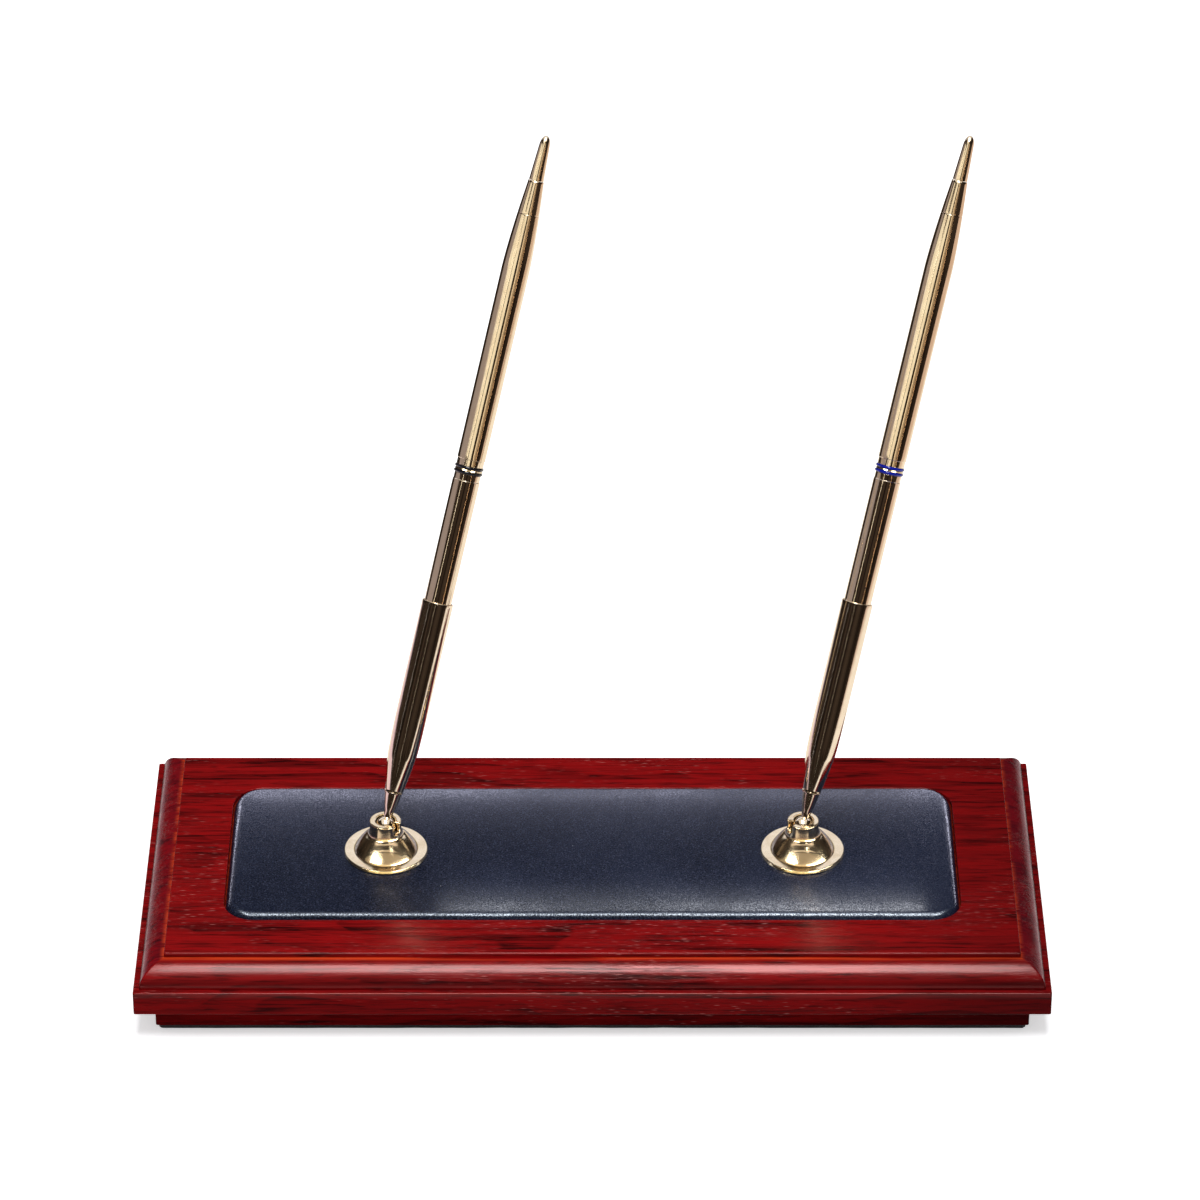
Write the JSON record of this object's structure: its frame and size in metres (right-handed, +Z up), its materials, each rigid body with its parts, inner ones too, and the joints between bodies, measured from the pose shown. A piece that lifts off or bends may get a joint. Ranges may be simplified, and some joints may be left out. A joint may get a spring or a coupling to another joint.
{
  "type": "pen stand",
  "caption": "Desk pen stand: moulded mahogany base with an inlaid leather pad and swivelling gold funnels that hold slim gold pens, leaning back and to the right.",
  "frame": {"origin": "centre of the felt underside, on the surface that the stand rests on", "axes": "+X along the base to its right end, +Y towards the back, the way the pens lean, +Z up"},
  "size_m": [0.24, 0.1319, 0.1987],
  "materials": {
    "mahogany": "open-grained wood, stained dark red and lacquered",
    "felt": "black pressed felt",
    "fibreboard": "raw brown fibreboard",
    "foam": "thin padding foam",
    "leather": "fine-grained black-blue leather with a low sheen",
    "gold": "polished pale gold plate",
    "brass": "turned brass, unplated",
    "steel": "zinc-plated steel",
    "nylon": "natural moulded nylon",
    "black_ring": "gloss black",
    "blue_ring": "gloss deep blue"
  },
  "bodies": {
    "base": {"base_board": "mahogany", "felt_underlay": "felt", "pad_backing": "fibreboard", "pad_foam": "foam", "pad_leather": "leather", "left_socket_bell": "gold", "left_retaining_bush": "brass", "left_mount_screw": "steel", "left_washer": "steel", "left_seat_spring": "steel", "right_socket_bell": "gold", "right_retaining_bush": "brass", "right_mount_screw": "steel", "right_washer": "steel", "right_seat_spring": "steel"},
    "left_seat_body": {"left_ball_seat": "nylon"},
    "left_stem_body": {"left_ball_stem": "gold"},
    "left_funnel_body": {"left_funnel": "gold", "left_funnel_insert": "nylon"},
    "left_pen_body": {"left_refill": "brass", "left_nib_cone": "gold", "left_front_barrel": "gold", "left_joining_sleeve": "brass", "left_ring_lower": "black_ring"},
    "left_ring_body": {"left_ring_upper": "black_ring"},
    "left_rear_body": {"left_rear_barrel": "gold", "left_finial": "gold"},
    "right_seat_body": {"right_ball_seat": "nylon"},
    "right_stem_body": {"right_ball_stem": "gold"},
    "right_funnel_body": {"right_funnel": "gold", "right_funnel_insert": "nylon"},
    "right_pen_body": {"right_refill": "brass", "right_nib_cone": "gold", "right_front_barrel": "gold", "right_joining_sleeve": "brass", "right_ring_lower": "blue_ring"},
    "right_ring_body": {"right_ring_upper": "blue_ring"},
    "right_rear_body": {"right_rear_barrel": "gold", "right_finial": "gold"}
  },
  "joints": [
    {"name": "left_turn", "type": "hinge", "parent": "base", "child": "left_seat_body", "pos_m": [-0.05535, 0, 0.03155], "axis": [0, 0, 1], "continuous": true},
    {"name": "left_tilt", "type": "hinge", "parent": "left_seat_body", "child": "left_stem_body", "pos_m": [-0.05535, 0, 0.03155], "axis": [-0.8729, 0.4879, 0], "range_deg": [-58, 2]},
    {"name": "left_spin", "type": "hinge", "parent": "left_stem_body", "child": "left_funnel_body", "pos_m": [-0.05535, 0, 0.03155], "axis": [0.229, 0.4098, 0.8829], "continuous": true},
    {"name": "left_lift", "type": "slide", "parent": "left_funnel_body", "child": "left_pen_body", "axis": [0.229, 0.4098, 0.8829], "range_m": [0, 0.055]},
    {"name": "left_ring_rise", "type": "slide", "parent": "left_pen_body", "child": "left_ring_body", "axis": [0.229, 0.4098, 0.8829], "range_m": [0, 0.002]},
    {"name": "left_unscrew", "type": "hinge", "parent": "left_ring_body", "child": "left_rear_body", "pos_m": [-0.05535, 0, 0.03155], "axis": [0.229, 0.4098, 0.8829], "range_deg": [0, 1440]},
    {"name": "right_turn", "type": "hinge", "parent": "base", "child": "right_seat_body", "pos_m": [0.05625, 0, 0.03155], "axis": [0, 0, 1], "continuous": true},
    {"name": "right_tilt", "type": "hinge", "parent": "right_seat_body", "child": "right_stem_body", "pos_m": [0.05625, 0, 0.03155], "axis": [-0.8729, 0.4879, 0], "range_deg": [-58, 2]},
    {"name": "right_spin", "type": "hinge", "parent": "right_stem_body", "child": "right_funnel_body", "pos_m": [0.05625, 0, 0.03155], "axis": [0.229, 0.4098, 0.8829], "continuous": true},
    {"name": "right_lift", "type": "slide", "parent": "right_funnel_body", "child": "right_pen_body", "axis": [0.229, 0.4098, 0.8829], "range_m": [0, 0.055]},
    {"name": "right_ring_rise", "type": "slide", "parent": "right_pen_body", "child": "right_ring_body", "axis": [0.229, 0.4098, 0.8829], "range_m": [0, 0.002]},
    {"name": "right_unscrew", "type": "hinge", "parent": "right_ring_body", "child": "right_rear_body", "pos_m": [0.05625, 0, 0.03155], "axis": [0.229, 0.4098, 0.8829], "range_deg": [0, 1440]}
  ],
  "couplings": [
    {"joint": "left_unscrew", "follows": "left_ring_rise", "rad_per_m": 12566},
    {"joint": "right_unscrew", "follows": "right_ring_rise", "rad_per_m": 12566}
  ]
}
